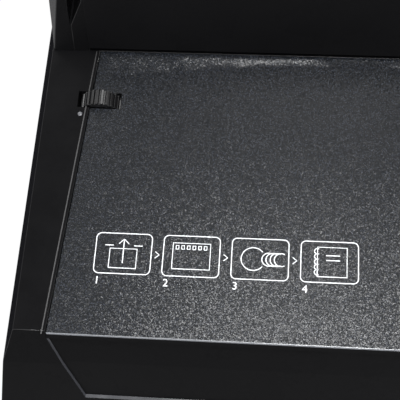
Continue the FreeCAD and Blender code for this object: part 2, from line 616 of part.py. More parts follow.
for side, word in ((-1, "left"), (1, "right")):
    start = side * (val("half_span") - val("gear_inset")) - val("gear_width") / 2
    teeth = rack_face(*RACK_TEETH, val("gear_module"), 0, val("rake_floor") - val("rack_line"))
    rack = feature("rack_" + word, teeth.extrude(FreeCAD.Vector(0, 0, val("gear_width"))))
    rack.Placement = FreeCAD.Placement(FreeCAD.Vector(start, val("shaft_y"), val("rack_line")), STAND_X)
    racks.append(rack)
node("comb_rake", fuse("comb_rake", rake_sheet, *hooks, *racks))


# Margin guide: a fluted thumb wheel whose pinion shifts the paper stop inside the throat.
FLUTE_SHAPE = ((0, 0), (0.45, 0), (0.6, 1), (0.85, 1))


def fluted_face(radius, depth, flutes):
    """A ribbed rim outline; each flute is pairs of a share of its pitch and of its depth."""
    corners = []
    for flute in range(flutes):
        for share, sunk in FLUTE_SHAPE:
            reach = radius - depth * sunk
            angle = (flute + share) * 2 * math.pi / flutes
            corners.append(FreeCAD.Vector(reach * math.cos(angle), reach * math.sin(angle), 0))
    return Part.Face(Part.makePolygon(corners + corners[:1]))


# A face drawn in XY is turned so that its Y points down and its normal becomes Y.
STAND_Y = FreeCAD.Rotation(FreeCAD.Vector(1, 0, 0), -90)
rim_face = fluted_face(val("wheel_radius"), val("flute_depth"), int(val("wheel_flutes")))
rim = feature("wheel_rim", rim_face.extrude(FreeCAD.Vector(0, 0, val("wheel_width"))))
rim.Placement = FreeCAD.Placement(
    FreeCAD.Vector(val("wheel_x"), val("wheel_y") - val("wheel_width") / 2, val("wheel_z")), STAND_Y)
pinion_face = gear_face(int(val("pinion_teeth")), val("pinion_module"), val("pinion_backlash"), math.pi / 2)
pinion = feature("wheel_pinion", pinion_face.extrude(FreeCAD.Vector(0, 0, val("pinion_width"))))
pinion.Placement = FreeCAD.Placement(
    FreeCAD.Vector(val("wheel_x"), val("pinion_front"), val("wheel_z")), STAND_Y)
wheel_bore = rod("wheel_bore", "y", "wheel_x", "bracket_front", "wheel_z", "axle_radius + shaft_clearance",
                 "bracket_rear - bracket_front")
node("guide_wheel", cut("guide_wheel", fuse("wheel_form", rim, pinion), wheel_bore))
node("wheel_axle", rod("wheel_axle", "y", "wheel_x", "bracket_front", "wheel_z", "axle_radius",
                       "bracket_rear + bracket_wall - bracket_front"))
bracket_walls = []
for word, low, left in (("front", "bracket_front", "wheel_x - bracket_half"),
                        ("rear", "bracket_rear", "wheel_x - bracket_side")):
    wall = box("bracket_" + word, left, low, "bracket_floor", "wheel_x + bracket_half - (%s)" % left,
               "bracket_wall", "inner_top - bracket_floor")
    hole = rod("bracket_hole_" + word, "y", "wheel_x", low, "wheel_z", "axle_radius + shaft_clearance",
               "bracket_wall")
    bracket_walls.append(cut("bracket_wall_" + word, wall, hole))
bracket_sole = box("bracket_sole", "wheel_x - bracket_side", "bracket_front", "bracket_floor",
                   "bracket_side + bracket_half", "bracket_rear + bracket_wall - bracket_front",
                   "bracket_wall")
bracket_slot = wheel_window("bracket_slot", "bracket_floor - bracket_wall", "3 * bracket_wall")
node("wheel_bracket", fuse("wheel_bracket", *bracket_walls, cut("bracket_base", bracket_sole, bracket_slot)))
SLIDE_TEETH = (-3, 3)
slide_face = rack_face(*SLIDE_TEETH, val("pinion_module"), 0, val("rack_bar"))
slide_teeth = feature("slide_teeth", slide_face.extrude(FreeCAD.Vector(0, 0, val("pinion_width"))))
slide_teeth.Placement = FreeCAD.Placement(
    FreeCAD.Vector(val("wheel_x"), val("pinion_front"), val("slide_line")), STAND_Y)
slide_bar = box("slide_bar", "min(stop_x; wheel_x)", "pinion_front", "slide_floor",
                "abs(wheel_x - stop_x) + stop_leg", "pinion_width", "rack_bar - pinion_module")
slide_arm = box("slide_arm", "stop_x", "pinion_front", "slide_floor", "stop_leg",
                "stop_y + stop_width - pinion_front", "rack_bar - pinion_module")
stop_post = box("stop_post", "stop_x", "stop_y", "slide_floor", "stop_leg", "stop_width",
                "throat_top - fit_gap - slide_floor")
stop_tongue = box("stop_tongue", "stop_x", "stop_y", "base_top + fit_gap", "stop_leg + stop_reach",
                  "stop_width", "throat_gap - 2 * fit_gap")
node("paper_stop", fuse("paper_stop", slide_teeth, slide_bar, slide_arm, stop_post, stop_tongue))

# Chip drawer: a shallow tray that slides out at the back.
drawer_form = box("drawer_form", "-half_drawer", "drawer_front", "drawer_floor", "2 * half_drawer",
                  "base_back - drawer_front", "drawer_height")
drawer_hollow = box("drawer_hollow", "-half_drawer + drawer_wall", "drawer_front + drawer_wall",
                    "drawer_floor + drawer_wall", "2 * (half_drawer - drawer_wall)",
                    "base_back - drawer_front - 2 * drawer_wall", "drawer_height")
drawer_notch = box("drawer_notch_cut", "-drawer_pull / 2", "base_back - 2 * drawer_wall",
                   "drawer_top - drawer_notch", "drawer_pull", "4 * drawer_wall", "2 * drawer_notch")
node("chip_drawer", cut("chip_drawer", drawer_form, drawer_hollow, drawer_notch))

# Screws: six hold the bottom plate, four hold the comb plate.
plate_screws = []
for sx in (-1, 1):
    for place in ("base_front + screw_inset", "0", "base_back - screw_inset"):
        plate_screws.append(rod("plate_screw_%d" % len(plate_screws), "z",
                                "%d * (half_base - screw_inset / 2)" % sx, place, "foot_height - screw_head",
                                "screw_radius", "screw_head"))
node("plate_screws", group("plate_screws", *plate_screws))
comb_screws = []
for sx in (-1, 1):
    for place in ("comb_front + 2 * screw_radius", "comb_back - 2 * screw_radius"):
        comb_screws.append(rod("comb_screw_%d" % len(comb_screws), "z",
                               "%d * (half_span - screw_radius)" % sx, place,
                               "comb_floor + comb_plate_thickness", "screw_radius", "screw_head"))
node("comb_screws", group("comb_screws", *comb_screws))

doc.recompute()
for item in doc.Objects:
    if "Invalid" in item.State or "Error" in item.State:
        raise RuntimeError("%s failed to build" % item.Label)
os.makedirs("parts", exist_ok=True)
for piece in NODES:
    if piece.Shape.isNull() or not piece.Shape.isValid():
        raise RuntimeError("%s has no sound shape" % piece.Label)
    piece.Shape.exportStep("parts/%s.step" % piece.Label)
    print(piece.Label, len(piece.Shape.Solids), round(piece.Shape.Volume / 1000, 1), "cm3")
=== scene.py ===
import json
import math

import bmesh
import bpy
from mathutils import Matrix, Vector


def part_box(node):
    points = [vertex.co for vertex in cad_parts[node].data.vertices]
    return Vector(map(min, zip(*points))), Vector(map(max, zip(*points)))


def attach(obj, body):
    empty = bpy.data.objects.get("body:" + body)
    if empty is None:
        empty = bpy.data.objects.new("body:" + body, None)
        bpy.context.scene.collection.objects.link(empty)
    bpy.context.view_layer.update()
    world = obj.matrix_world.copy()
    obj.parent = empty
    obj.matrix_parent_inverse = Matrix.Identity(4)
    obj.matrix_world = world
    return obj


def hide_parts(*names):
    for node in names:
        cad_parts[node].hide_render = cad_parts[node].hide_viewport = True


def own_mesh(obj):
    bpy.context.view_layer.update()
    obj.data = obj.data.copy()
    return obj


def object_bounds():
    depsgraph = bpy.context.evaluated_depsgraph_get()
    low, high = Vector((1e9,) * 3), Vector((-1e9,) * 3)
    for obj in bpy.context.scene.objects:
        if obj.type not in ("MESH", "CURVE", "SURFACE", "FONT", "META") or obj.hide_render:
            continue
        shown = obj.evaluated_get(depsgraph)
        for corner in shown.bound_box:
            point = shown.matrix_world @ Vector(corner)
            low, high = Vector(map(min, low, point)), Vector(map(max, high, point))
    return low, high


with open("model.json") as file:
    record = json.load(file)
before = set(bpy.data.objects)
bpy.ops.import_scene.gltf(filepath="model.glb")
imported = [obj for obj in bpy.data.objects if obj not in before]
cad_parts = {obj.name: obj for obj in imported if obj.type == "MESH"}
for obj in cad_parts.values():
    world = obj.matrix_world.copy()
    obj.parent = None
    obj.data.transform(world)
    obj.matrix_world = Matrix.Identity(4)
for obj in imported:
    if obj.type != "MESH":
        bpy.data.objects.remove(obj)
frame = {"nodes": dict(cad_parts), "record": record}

cad_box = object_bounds()

# Base shell: one large injection moulding in black ABS, glossy on its border and front, matt on its flanks.
# A mould leaves no knife edges, so every outer corner is rounded by about a millimetre.
MM = 0.001
SHELL_BLACK = "#070708"
SHELL_EDGE = 1.1 * MM
SHARP_ANGLE = math.radians(20)
ROUND_ANGLE = math.radians(32)
FLAT_ANGLE = math.radians(0.6)
WELD = 0.001 * MM
BROAD_FACE = 100 * MM ** 2
FLOW_MM = 60
RUB_MM = 22


def linear(code):
    """An sRGB hex colour as linear RGBA."""
    parts = [int(code[i:i + 2], 16) / 255 for i in (1, 3, 5)]
    return [c / 12.92 if c <= 0.04045 else ((c + 0.055) / 1.055) ** 2.4 for c in parts] + [1.0]


def add(tree, kind, settings=None, inputs=None):
    """Add a shader node; an input is a plain value or another node's output."""
    made = tree.nodes.new(kind)
    for key, value in (settings or {}).items():
        setattr(made, key, value)
    for key, value in (inputs or {}).items():
        if isinstance(value, bpy.types.NodeSocket):
            tree.links.new(value, made.inputs[key])
        else:
            made.inputs[key].default_value = value
    return made


def start_finish(name, **sockets):
    """A new finish, its node tree, its shader and the object's own coordinates."""
    finish = bpy.data.materials.new(name)
    finish.use_nodes = True
    tree = finish.node_tree
    shader = tree.nodes["Principled BSDF"]
    for key, value in sockets.items():
        shader.inputs[key.replace("_", " ")].default_value = value
    place = tree.nodes.new("ShaderNodeTexCoord").outputs["Object"]
    return finish, tree, shader, place


def per_mm(size_mm):
    """The texture scale at which one cell of a pattern is this many millimetres."""
    return 1 / (size_mm * MM)


def moulded(name, code, pale_code, roughness, grain_mm, grain_depth, sheen=0.5):
    """Moulded plastic: slow flow clouding in its colour, a fine tool grain, faint handling marks."""
    finish, tree, shader, place = start_finish(name, IOR=1.53, Specular_IOR_Level=sheen)
    cloud = add(tree, "ShaderNodeTexNoise", inputs={"Vector": place, "Scale": per_mm(FLOW_MM), "Detail": 4.0})
    tint = add(tree, "ShaderNodeValToRGB", inputs={"Fac": cloud.outputs["Fac"]})
    tint.color_ramp.elements[0].color = linear(code)
    tint.color_ramp.elements[1].color = linear(pale_code)
    tree.links.new(tint.outputs["Color"], shader.inputs["Base Color"])
    rub = add(tree, "ShaderNodeTexNoise", inputs={
        "Vector": place, "Scale": per_mm(RUB_MM), "Detail": 6.0, "Roughness": 0.65})
    spread = add(tree, "ShaderNodeMapRange", inputs={
        "Value": rub.outputs["Fac"], "From Min": 0.3, "From Max": 0.7,
        "To Min": roughness - 0.06, "To Max": roughness + 0.08})
    tree.links.new(spread.outputs["Result"], shader.inputs["Roughness"])
    grain = add(tree, "ShaderNodeTexNoise", inputs={
        "Vector": place, "Scale": per_mm(grain_mm), "Detail": 3.0})
    bump = add(tree, "ShaderNodeBump", inputs={
        "Height": grain.outputs["Fac"], "Strength": 0.25, "Distance": grain_depth * MM})
    tree.links.new(bump.outputs["Normal"], shader.inputs["Normal"])
    return finish


def new_piece(name, bm, finish, body):
    """Turn a bmesh into a piece that rides on a body."""
    mesh = bpy.data.meshes.new(name)
    bm.to_mesh(mesh)
    bm.free()
    piece = bpy.data.objects.new(name, mesh)
    bpy.context.scene.collection.objects.link(piece)
    mesh.materials.append(finish)
    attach(piece, body)
    return piece


def shade(piece, angle=SHARP_ANGLE, broad=math.inf):
    """Smooth the rounded edges, keep the true corners crisp and faces over a broad area flat."""
    piece.data.shade_smooth()
    piece.data.set_sharp_from_angle(angle=angle)
    for face in piece.data.polygons:
        face.use_smooth = face.area < broad
    flat = piece.modifiers.new("flat_faces_stay_flat", "WEIGHTED_NORMAL")
    flat.keep_sharp = True
    flat.weight = 100


def welded(node):
    """A solid's mesh with its seams closed and its flat faces whole."""
    bm = bmesh.new()
    bm.from_mesh(frame["nodes"][node].data)
    bmesh.ops.remove_doubles(bm, verts=bm.verts, dist=WELD)
    bmesh.ops.dissolve_limit(bm, angle_limit=FLAT_ANGLE, verts=bm.verts, edges=bm.edges)
    return bm


def soft_moulding(node, edge, finish, reach=4 * MM, segments=3, zones=(), edge_finish=None,
                  spare=None, broad=BROAD_FACE):
    """A copy of a solid with its long sharp edges rounded, standing for that solid. Each zone is a test
    for faces and their own finish, the rounded edges may have one too, and edges that pass the spare
    test stay sharp."""
    body = next(name for name, nodes in frame["record"]["behaviour"]["bodies"].items() if node in nodes)
    bm = welded(node)
    finishes = [finish]
    for test, zone_finish in zones:
        for face in filter(test, bm.faces):
            face.material_index = len(finishes)
        finishes.append(zone_finish)
    corners = [e for e in bm.edges if len(e.link_faces) == 2 and e.calc_length() > reach
               and e.calc_face_angle_signed(0) > SHARP_ANGLE and not (spare and spare(e))]
    rounded = bmesh.ops.bevel(bm, geom=corners, offset=edge, offset_type="OFFSET", affect="EDGES",
                              segments=segments, profile=0.5, material=-1, clamp_overlap=True)
    if edge_finish:
        for face in rounded["faces"]:
            face.material_index = len(finishes)
        finishes.append(edge_finish)
    piece = new_piece(node + "_moulding", bm, finish, body)
    for further in finishes[1:]:
        piece.data.materials.append(further)
    shade(piece, ROUND_ANGLE, broad)
    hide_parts(node)


SCOOP_FRONT = -150 * MM
FLANK_DEEP = 20 * MM


def on_scoop_rim(face):
    """The narrow walls round the hollow in the front skirt, which get a painted highlight."""
    normal = face.normal
    return face.calc_center_median().y < SCOOP_FRONT and abs(normal.y) < 0.02 and 0.3 < normal.z


def by_scoop_rim(edge):
    """The edges of those walls, which are too narrow to round."""
    return any(on_scoop_rim(face) for face in edge.link_faces)


def on_flank(face):
    """The outer walls to the left and right, which the mould leaves matt."""
    normal = face.normal
    outer = abs(face.calc_center_median().x) > cad_box[1].x - FLANK_DEEP
    return outer and abs(normal.x) > 0.7


gloss_abs = moulded("gloss_black_abs", SHELL_BLACK, "#0c0c0d", 0.28, 0.9, 0.02, 0.04)
# The polished finish is glossier than the shell and also paler: the paler grey is a painted highlight.
polished_painted_highlight_abs = moulded("polished_black_painted_highlight_abs", "#151517", "#1b1b1d", 0.18, 1.2, 0.01)
# The rim finish is a pale grey: a painted highlight on the narrow walls round the hollow in the skirt.
rim_painted_highlight_abs = moulded("polished_rim_painted_highlight_abs", "#2c2d30", "#343539", 0.18, 1.2, 0.01)
# The rounded edges have more sheen than the faces and are painted slightly paler too: a painted edge
# highlight.
corner_painted_highlight_abs = moulded("rounded_black_painted_highlight_abs", "#101011", "#161617", 0.24, 1.2, 0.01, 0.2)
matt_abs = moulded("matt_black_abs", "#111113", "#171719", 0.7, 0.8, 0.04, 0.0)
soft_moulding("base_shell", SHELL_EDGE, gloss_abs, reach=12 * MM,
              zones=((on_scoop_rim, rim_painted_highlight_abs), (on_flank, matt_abs)), edge_finish=corner_painted_highlight_abs,
              spare=by_scoop_rim)

# Bottom plate, feet and screws: a pressed steel plate closes the shell from below, held by six
# pan-head screws, and the machine stands on four stuck-on rubber feet.
STEEL_CLOUD_MM = 18
STEEL_DULL = 0.82


def dress(finish, *nodes):
    """Give carried-over solids a finish."""
    for node in nodes:
        for holder in frame["nodes"][node].material_slots:
            holder.material = finish


def drawn_steel(name, code, roughness, line_mm, stretch):
    """Rolled or ground steel: fine lines along X that stretch each highlight, with a little clouding."""
    finish, tree, shader, place = start_finish(name, Metallic=1.0)
    along = add(tree, "ShaderNodeMapping", inputs={"Vector": place, "Scale": (1 / stretch, 1.0, 1.0)})
    lines = add(tree, "ShaderNodeTexNoise", inputs={
        "Vector": along.outputs["Vector"], "Scale": per_mm(line_mm), "Detail": 2.0})
    cloud = add(tree, "ShaderNodeTexNoise", inputs={
        "Vector": place, "Scale": per_mm(STEEL_CLOUD_MM), "Detail": 4.0})
    tint = add(tree, "ShaderNodeValToRGB", inputs={"Fac": cloud.outputs["Fac"]})
    tint.color_ramp.elements[0].color = [c * STEEL_DULL for c in linear(code)[:3]] + [1.0]
    tint.color_ramp.elements[1].color = linear(code)
    tree.links.new(tint.outputs["Color"], shader.inputs["Base Color"])
    spread = add(tree, "ShaderNodeMapRange", inputs={
        "Value": lines.outputs["Fac"], "To Min": roughness * 0.7, "To Max": roughness * 1.3})
    tree.links.new(spread.outputs["Result"], shader.inputs["Roughness"])
    bump = add(tree, "ShaderNodeBump", inputs={
        "Height": lines.outputs["Fac"], "Strength": 0.2, "Distance": 0.01 * MM})
    tree.links.new(bump.outputs["Normal"], shader.inputs["Normal"])
    return finish


plate_steel = drawn_steel("zinc_plated_sheet", "#8d9094", 0.42, 0.5, 12)
dress(plate_steel, "bottom_plate")
screw_steel = drawn_steel("zinc_plated_screw", "#b4b6b8", 0.3, 0.4, 3)
rubber = moulded("black_rubber", "#101010", "#181818", 0.7, 0.6, 0.05, 0.3)
dress(rubber, "rubber_feet")

SCREW_RADIUS = 3.5 * MM
CROWN_RADIUS = 2.7 * MM
RECESS_HALF = 1.8 * MM
SLOT_HALF = 0.4 * MM
RECESS_DEEP = 0.9 * MM


def disc_tops(node, side):
    """The middles of a solid's flat discs that face up (1) or down (-1)."""
    bm = welded(node)
    middles = [f.calc_center_median() for f in bm.faces if f.normal.z * side > 0.9]
    bm.free()
    return middles


def pan_head(height):
    """One pan head with a cross recess, its crown at the origin."""
    bm = bmesh.new()
    bmesh.ops.create_grid(bm, x_segments=3, y_segments=3, size=RECESS_HALF)
    for v in bm.verts:
        for axis in (0, 1):
            if abs(v.co[axis]) < RECESS_HALF / 2:
                v.co[axis] = math.copysign(SLOT_HALF, v.co[axis])
    square = [e for e in bm.edges if e.is_boundary]
    cross = [f for f in bm.faces if min(map(abs, f.calc_center_median().xy)) < SLOT_HALF / 2]
    sunk = bmesh.ops.extrude_face_region(bm, geom=cross)["geom"]
    bmesh.ops.delete(bm, geom=[f for f in cross if f.is_valid], context="FACES")
    sunk = [v for v in sunk if isinstance(v, bmesh.types.BMVert)]
    bmesh.ops.translate(bm, verts=sunk, vec=(0, 0, -RECESS_DEEP))
    crown = bmesh.ops.create_circle(bm, segments=24, radius=CROWN_RADIUS)["verts"]
    round_edges = list({e for v in crown for e in v.link_edges})
    square = [e for e in square if e.is_valid and len(e.link_faces) == 1]
    bmesh.ops.bridge_loops(bm, edges=square + round_edges)
    foot = bmesh.ops.extrude_edge_only(bm, edges=round_edges)["geom"]
    foot = [v for v in foot if isinstance(v, bmesh.types.BMVert)]
    flare = SCREW_RADIUS / CROWN_RADIUS
    bmesh.ops.scale(bm, verts=foot, vec=(flare, flare, 1))
    bmesh.ops.translate(bm, verts=foot, vec=(0, 0, -height))
    bmesh.ops.holes_fill(bm, edges=[e for e in bm.edges if e.is_boundary])
    bmesh.ops.recalc_face_normals(bm, faces=bm.faces)
    return bm


def screw_heads(name, node, side, finish):
    """Pan heads on the discs of a solid, standing for it."""
    low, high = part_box(node)
    one = pan_head(high.z - low.z)
    if side < 0:
        over = Matrix.Rotation(math.pi, 3, "X")
        bmesh.ops.rotate(one, verts=one.verts, matrix=over, cent=(0, 0, 0))
    pattern = bpy.data.meshes.new(name + "_pattern")
    one.to_mesh(pattern)
    one.free()
    bm = bmesh.new()
    for middle in disc_tops(node, side):
        count = len(bm.verts)
        bm.from_mesh(pattern)
        bm.verts.ensure_lookup_table()
        bmesh.ops.translate(bm, verts=bm.verts[count:], vec=middle)
    bpy.data.meshes.remove(pattern)
    piece = new_piece(name, bm, finish, "machine")
    shade(piece)
    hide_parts(node)


screw_heads("plate_screw_heads", "plate_screws", -1, screw_steel)

# Paper bed: a black ABS plate let into the base. Its mould face is spark-eroded, which leaves a coarse
# pebble that breaks each lamp into small glints, and its rear ramps up in a shallow arc to the throat.
bed_low, bed_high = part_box("paper_bed")
TRAY_THICK = 3 * MM
BED_GREY = "#0b0d10"
BED_PALE_TONE_AND_GLINT = "#2a2d34"
PEBBLE_MM = 0.5
FACET_TILT = 0.26
BED_LEVEL = bed_low.z + TRAY_THICK
RIM_DEEP = 20 * MM


def spark_eroded(name, code, pale_code, roughness):
    """Pebbled plastic: each pit is a small facet with a tilt of its own, so a lamp shows as separate glints.
    Real pits are about 0.3 mm across, and these are drawn coarser so that they show. The palest pits are
    partly a random tone and partly painted glints."""
    finish, tree, shader, place = start_finish(name, IOR=1.53, Specular_IOR_Level=0.17, Roughness=roughness)
    pits = add(tree, "ShaderNodeTexVoronoi", {"feature": "F1"}, {
        "Vector": place, "Scale": per_mm(PEBBLE_MM)})
    centred = add(tree, "ShaderNodeVectorMath", {"operation": "SUBTRACT"}, {
        0: pits.outputs["Color"], 1: (0.5, 0.5, 0.5)})
    tilt = add(tree, "ShaderNodeVectorMath", {"operation": "SCALE"}, {
        0: centred.outputs["Vector"], "Scale": FACET_TILT})
    flat = tree.nodes.new("ShaderNodeNewGeometry").outputs["Normal"]
    leaning = add(tree, "ShaderNodeVectorMath", {"operation": "ADD"}, {0: flat, 1: tilt.outputs["Vector"]})
    facet = add(tree, "ShaderNodeVectorMath", {"operation": "NORMALIZE"}, {0: leaning.outputs["Vector"]})
    tree.links.new(facet.outputs["Vector"], shader.inputs["Normal"])
    # Pits past the ramp's first stop are paler: partly a random tone of the pebble, partly painted glints.
    shades = add(tree, "ShaderNodeSeparateColor", inputs={"Color": pits.outputs["Color"]})
    tint = add(tree, "ShaderNodeValToRGB", inputs={"Fac": shades.outputs["Blue"]})
    tint.color_ramp.elements[0].position = 0.8
    tint.color_ramp.elements[0].color = linear(code)
    tint.color_ramp.elements[1].color = linear(pale_code)
    tree.links.new(tint.outputs["Color"], shader.inputs["Base Color"])
    return finish


def on_bed_side(face):
    """The plate's narrow outer sides, which are smooth."""
    return face.normal.z < 0.8


def off_bed_rim(edge):
    """All edges but the front one at the level of the bed."""
    return any(abs(v.co.z - BED_LEVEL) > 0.1 * MM or v.co.y > bed_low.y + RIM_DEEP for v in edge.verts)


# The bed's rounded front edge is painted mid grey: a painted highlight along that edge.
bed_edge_painted_highlight = moulded("bed_edge_painted_highlight_abs", "#4a4c50", "#56585d", 0.25, 1.2, 0.01)
bed_abs = spark_eroded("spark_eroded_abs", BED_GREY, BED_PALE_TONE_AND_GLINT, 0.27)
soft_moulding("paper_bed", 0.6 * MM, bed_abs, reach=6 * MM,
              zones=((on_bed_side, gloss_abs),), edge_finish=bed_edge_painted_highlight, spare=off_bed_rim, broad=math.inf)

# Printed steps on the bed: white pad-printed ink, four plain line panels in the order of work.
# The drawings are simple shapes of their own: a sheet, a row of holes, an open ring, a bound booklet.
INK_WHITE = "#dcdde0"
INK_LINE = 0.62 * MM
INK_AND_SHADE_FILM = 0.04 * MM
PANEL_WIDE = 33 * MM
PANEL_DEEP = 25 * MM
PANEL_STEP = 40 * MM
PANEL_ROUND = 3 * MM
PRINT_LEFT = -154 * MM
PRINT_MIDDLE = -98 * MM
FIGURE_TALL = 6.5 * MM
FIGURE_INSET = 1 * MM


def arc(middle, radius, first, last, steps=8):
    """Points round part of a circle, angles in degrees."""
    turns = [math.radians(first + (last - first) * i / steps) for i in range(steps + 1)]
    return [(middle[0] + radius * math.cos(a), middle[1] + radius * math.sin(a)) for a in turns]


def frame_line(wide, deep, corner):
    """A rounded rectangle about the origin."""
    points = []
    for turn, (sx, sy) in enumerate(((1, 1), (-1, 1), (-1, -1), (1, -1))):
        points += arc((sx * (wide / 2 - corner), sy * (deep / 2 - corner)), corner, 90 * turn, 90 * turn + 90)
    return points + points[:1]


def block_line(x, y, wide, deep):
    """A plain rectangle from its lower left corner."""
    return [(x, y), (x + wide, y), (x + wide, y + deep), (x, y + deep), (x, y)]


def sheet_panel():
    """A sheet with an arrow towards the throat."""
    tip = (0, 9 * MM)
    return [block_line(-8 * MM, -9 * MM, 16 * MM, 12 * MM), [(0, -6 * MM), tip],
            [(-3 * MM, 6 * MM), tip, (3 * MM, 6 * MM)], [(-11 * MM, 5 * MM), (-6 * MM, 5 * MM)],
            [(6 * MM, 5 * MM), (11 * MM, 5 * MM)]]


def holes_panel():
    """A sheet with a row of square holes along its far edge."""
    lines = [block_line(-11 * MM, -8 * MM, 22 * MM, 16 * MM)]
    for i in range(6):
        lines.append(block_line((-9.2 + 3.3 * i) * MM, 4.2 * MM, 1.6 * MM, 2.2 * MM))
    return lines


def ring_panel():
    """An open comb seen from its end, beside its spine."""
    lines = [arc((-4 * MM, 0), 7 * MM, 40, 320, 20)]
    for i in range(4):
        lines.append(arc(((6 + 2.4 * i) * MM - 1 * MM, 0), 4 * MM, 60, 300, 12))
    return lines


def booklet_panel():
    """A closed booklet with loops down one side."""
    lines = [block_line(-7 * MM, -9 * MM, 17 * MM, 18 * MM)]
    for i in range(5):
        lines.append(arc((-7 * MM, (-6.4 + 3.2 * i) * MM), 1.7 * MM, 60, 300, 10))
    return lines + [[(-2 * MM, 4 * MM), (6 * MM, 4 * MM)], [(-2 * MM, 1 * MM), (6 * MM, 1 * MM)]]


def chevron():
    """A small pointer to the next panel."""
    return [[(-1.2 * MM, 2 * MM), (1.2 * MM, 0), (-1.2 * MM, -2 * MM)]]


def printed(name, drawing, finish, x=0, y=0):
    """Press a line drawing or a numeral flat, as a film of ink on the bed."""
    holder = bpy.data.objects.new(name + "_lines", drawing)
    mesh = bpy.data.meshes.new_from_object(holder)
    bpy.data.objects.remove(holder)
    bm = bmesh.new()
    bm.from_mesh(mesh)
    bpy.data.meshes.remove(mesh)
    bmesh.ops.dissolve_degenerate(bm, dist=WELD, edges=bm.edges)
    bmesh.ops.scale(bm, verts=bm.verts, vec=(1, 1, INK_AND_SHADE_FILM / INK_LINE))
    bmesh.ops.translate(bm, verts=bm.verts, vec=(x, y, BED_LEVEL + INK_AND_SHADE_FILM / 4))
    new_piece(name, bm, finish, "machine")


def pad_ink(name, code):
    """Pad-printed ink: a matt white film, slightly starved over the pebbled plastic."""
    finish, tree, shader, place = start_finish(name, Roughness=0.55, IOR=1.48)
    starve = add(tree, "ShaderNodeTexNoise", inputs={
        "Vector": place, "Scale": per_mm(PEBBLE_MM), "Detail": 2.0})
    tint = add(tree, "ShaderNodeValToRGB", inputs={"Fac": starve.outputs["Fac"]})
    tint.color_ramp.elements[0].position = 0.25
    tint.color_ramp.elements[0].color = linear("#9fa1a6")
    tint.color_ramp.elements[1].position = 0.5
    tint.color_ramp.elements[1].color = linear(code)
    tree.links.new(tint.outputs["Color"], shader.inputs["Base Color"])
    return finish


white_ink = pad_ink("white_pad_ink", INK_WHITE)
for number, drawing in enumerate((sheet_panel, holes_panel, ring_panel, booklet_panel)):
    word = str(number + 1)
    lines = bpy.data.curves.new("panel_%s_lines" % word, "CURVE")
    lines.dimensions = "3D"
    lines.bevel_depth = INK_LINE / 2
    lines.bevel_resolution = 1
    lines.use_fill_caps = True
    centre = (PRINT_LEFT + PANEL_WIDE / 2 + number * PANEL_STEP, PRINT_MIDDLE)
    strokes = [frame_line(PANEL_WIDE, PANEL_DEEP, PANEL_ROUND)] + drawing()
    if number:
        strokes += [[(x - PANEL_STEP / 2, y) for x, y in stroke] for stroke in chevron()]
    for stroke in strokes:
        run = lines.splines.new("POLY")
        run.points.add(len(stroke) - 1)
        for point, (x, y) in zip(run.points, stroke):
            point.co = (centre[0] + x, centre[1] + y, 0, 1)
    printed("printed_panel_" + word, lines, white_ink)
    figure = bpy.data.curves.new("figure_" + word, "FONT")
    figure.body = word
    figure.size = FIGURE_TALL
    figure.extrude = INK_LINE / 2
    figure.align_x = "LEFT"
    printed("printed_figure_" + word, figure, white_ink, centre[0] - PANEL_WIDE / 2 + FIGURE_INSET,
            centre[1] - PANEL_DEEP / 2 - FIGURE_TALL)

# Border lines: a fine groove moulded each side of the bed is drawn as painted shade, a thin black strip.
# A pale plastic pip, pressed into the border, marks the margin wheel.
LINE_WIDE = 0.7 * MM
LINE_OUT = 2.4 * MM
BORDER_LEVEL = 54 * MM
BED_HALF_FRONT = bed_high.x
BED_HALF_REAR = 165 * MM
PIP_RADIUS = 1.5 * MM
PIP_PLACE = (-173.2 * MM, -7.5 * MM)
# The groove is not cut: its shade is painted as a black film on the border.
groove_painted_shade = moulded("sunk_groove_painted_shade", "#040405", "#070708", 0.5, 1.0, 0.01)
for side, word in ((-1, "left"), (1, "right")):
    start = Vector((side * (BED_HALF_FRONT + LINE_OUT), bed_low.y + 1.2 * MM, BORDER_LEVEL))
    end = Vector((side * (BED_HALF_REAR + LINE_OUT), bed_high.y, BORDER_LEVEL))
    run = end - start
    bm = bmesh.new()
    strip = bmesh.ops.create_cube(bm, size=1)["verts"]
    bmesh.ops.scale(bm, verts=strip, vec=(LINE_WIDE, run.length, INK_AND_SHADE_FILM))
    turn = Matrix.Rotation(math.atan2(-run.x, run.y), 3, "Z")
    bmesh.ops.rotate(bm, verts=strip, matrix=turn, cent=(0, 0, 0))
    bmesh.ops.translate(bm, verts=strip, vec=(start + end) / 2)
    new_piece("border_line_" + word, bm, groove_painted_shade, "machine")
bm = bmesh.new()
bmesh.ops.create_uvsphere(bm, u_segments=24, v_segments=12, radius=PIP_RADIUS)
bmesh.ops.scale(bm, verts=bm.verts, vec=(1, 1, 0.25))
bmesh.ops.translate(bm, verts=bm.verts, vec=(*PIP_PLACE, BORDER_LEVEL))
pip_grey = moulded("grey_marker_abs", "#3c3d40", "#48494d", 0.45, 0.8, 0.02)
shade(new_piece("wheel_marker_pip", bm, pip_grey, "machine"), math.pi)

# Punch frame: side plates, die and pin guide in ground tool steel.
# The plates stand on the bottom plate and hold the die and the guide as one rigid box inside the head.
frame_steel = drawn_steel("ground_tool_steel", "#8c8e91", 0.34, 0.35, 20)
dress(frame_steel, "side_plate_left", "side_plate_right", "die_block", "pin_guide")

